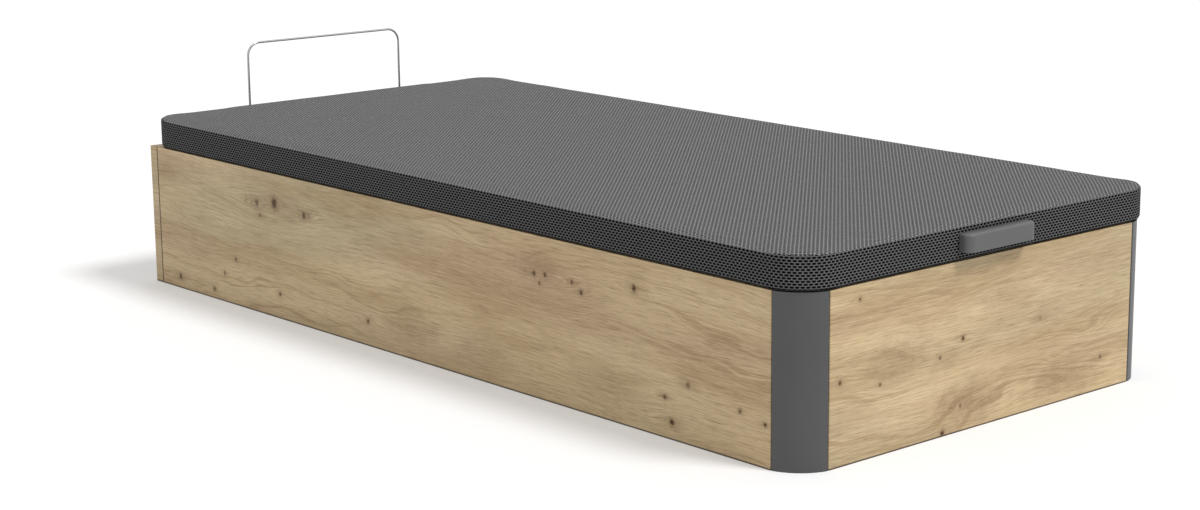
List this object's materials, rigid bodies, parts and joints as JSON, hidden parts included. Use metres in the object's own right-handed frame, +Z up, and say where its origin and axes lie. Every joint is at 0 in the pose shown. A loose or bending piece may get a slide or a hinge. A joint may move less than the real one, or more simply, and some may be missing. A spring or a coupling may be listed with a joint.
{
  "type": "storage bed base",
  "caption": "Single storage bed base: oak-look board box with rounded grey foot corners, mesh-covered lid lifted by links and gas struts, pull handle and wire mattress stop.",
  "frame": {"origin": "on the floor, under the middle of the centre floor rail", "axes": "+X across the bed, +Y towards the head end with the mattress stop, +Z up"},
  "size_m": [0.9, 1.9291, 0.481],
  "materials": {
    "oak_board": "light natural oak grain foil, satin",
    "grey_profile": "satin dark grey",
    "floor_board": "plain fibreboard",
    "pine": "planed softwood",
    "zinc_steel": "zinc plated",
    "clear_rubber": "soft clear",
    "grey_steel": "grey powder coat",
    "strut_black": "black gloss paint",
    "polished_rod": "polished",
    "foam": "open cell foam",
    "mesh_fabric": "dark grey spacer mesh",
    "grey_handle": "satin moulded",
    "bright_wire": "bright bent wire"
  },
  "bodies": {
    "base": {"side_panel_right": "oak_board", "side_panel_left": "oak_board", "foot_panel": "oak_board", "head_panel": "oak_board", "corner_profile_right": "grey_profile", "corner_profile_left": "grey_profile", "floor_board_head": "floor_board", "floor_board_foot": "floor_board", "centre_floor_rail": "pine", "side_ledge_right": "pine", "side_ledge_left": "pine", "foot_ledge": "pine", "head_ledge": "pine", "head_angle_right": "zinc_steel", "head_angle_left": "zinc_steel", "head_angle_screws": "zinc_steel", "profile_screws": "zinc_steel", "ledge_screws": "zinc_steel", "lid_bumpers": "clear_rubber", "fixed_plate_right": "grey_steel", "fixed_plate_left": "grey_steel", "fixed_plate_screws": "zinc_steel", "fixed_pivot_pins": "zinc_steel", "strut_bracket_right": "grey_steel", "strut_bracket_left": "grey_steel", "strut_bracket_screws": "zinc_steel"},
    "main_arms": {"main_arm_right": "grey_steel", "main_arm_left": "grey_steel"},
    "rear_links": {"rear_link_right": "grey_steel", "rear_link_left": "grey_steel"},
    "strut_cylinders": {"strut_cylinder_right": "strut_black", "strut_cylinder_left": "strut_black"},
    "strut_rods": {"strut_rod_right": "polished_rod", "strut_rod_left": "polished_rod", "strut_top_studs": "polished_rod"},
    "lid": {"lid_side_rail_right": "pine", "lid_side_rail_left": "pine", "lid_foot_rail": "pine", "lid_head_rail": "pine", "lid_corner_head_right": "pine", "lid_corner_head_left": "pine", "lid_corner_foot_left": "pine", "lid_corner_foot_right": "pine", "lid_cross_rail_1": "pine", "lid_cross_rail_2": "pine", "lid_cross_rail_3": "pine", "lid_board": "floor_board", "lid_foam": "foam", "lid_cover": "mesh_fabric", "lid_bracket_right": "grey_steel", "lid_bracket_left": "grey_steel", "lid_bracket_screws": "zinc_steel", "lid_pivot_pins": "zinc_steel", "handle": "grey_handle", "handle_screws": "zinc_steel", "mattress_stop": "bright_wire", "stop_clips": "zinc_steel", "stop_clip_screws": "zinc_steel"}
  },
  "joints": [
    {"name": "lid_hinge", "type": "hinge", "parent": "main_arms", "child": "lid", "pos_m": [0, 0.808, 0.252], "axis": [-1, 0, 0], "range_deg": [0, 73.2]},
    {"name": "arm_hinge", "type": "hinge", "parent": "base", "child": "main_arms", "pos_m": [0, 0.492, 0.087], "axis": [1, 0, 0], "range_deg": [0, 36.21]},
    {"name": "link_hinge", "type": "hinge", "parent": "base", "child": "rear_links", "pos_m": [0, 0.67, 0.244], "axis": [1, 0, 0], "range_deg": [0, 54.07]},
    {"name": "strut_tilt", "type": "hinge", "parent": "base", "child": "strut_cylinders", "pos_m": [0, 0.865, 0.055], "axis": [-1, 0, 0], "range_deg": [0, 3.2]},
    {"name": "strut_slide", "type": "slide", "parent": "strut_cylinders", "child": "strut_rods", "axis": [0, -0.8112, 0.5848], "range_m": [0, 0.133]}
  ],
  "couplings": [
    {"joint": "arm_hinge", "follows": "lid_hinge", "ratio": 0.49457},
    {"joint": "link_hinge", "follows": "lid_hinge", "ratio": 0.73852},
    {"joint": "strut_tilt", "follows": "lid_hinge", "ratio": 0.043433},
    {"joint": "strut_slide", "follows": "lid_hinge", "m_per_rad": 0.10385}
  ]
}
